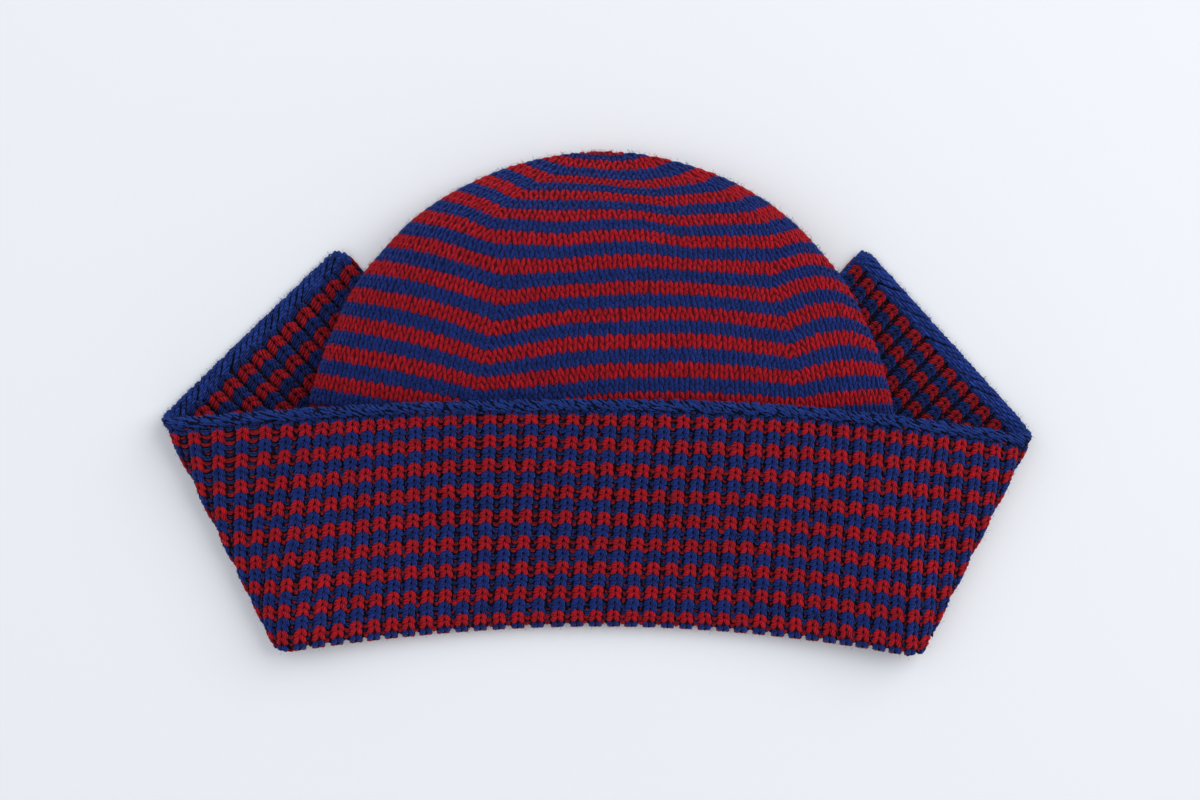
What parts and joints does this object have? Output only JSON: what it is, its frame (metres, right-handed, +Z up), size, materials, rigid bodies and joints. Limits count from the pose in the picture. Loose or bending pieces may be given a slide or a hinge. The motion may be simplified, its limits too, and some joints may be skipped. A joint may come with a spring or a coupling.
{
  "type": "flap hat",
  "caption": "Knitted wool hat lying flat: a striped hollow crown with a wide ribbed flap turned up over it, its ends folded under, to cover the head and ears.",
  "frame": {"origin": "on the table, under the middle of the hat's overall box", "axes": "+Z up from the table, +Y towards the tip of the crown, +X along the flap to the viewer's right"},
  "size_m": [0.3636, 0.2102, 0.0445],
  "materials": {
    "crown_knit": "matt wool, stocking stitch, red and blue stripes",
    "flap_rib": "matt wool, one-by-one rib, red and blue stripes",
    "edge_yarn": "matt blue wool, cast-off edge"
  },
  "bodies": {
    "root": {"crown": "crown_knit", "flap": "flap_rib", "flap_edge": "edge_yarn"}
  },
  "joints": []
}
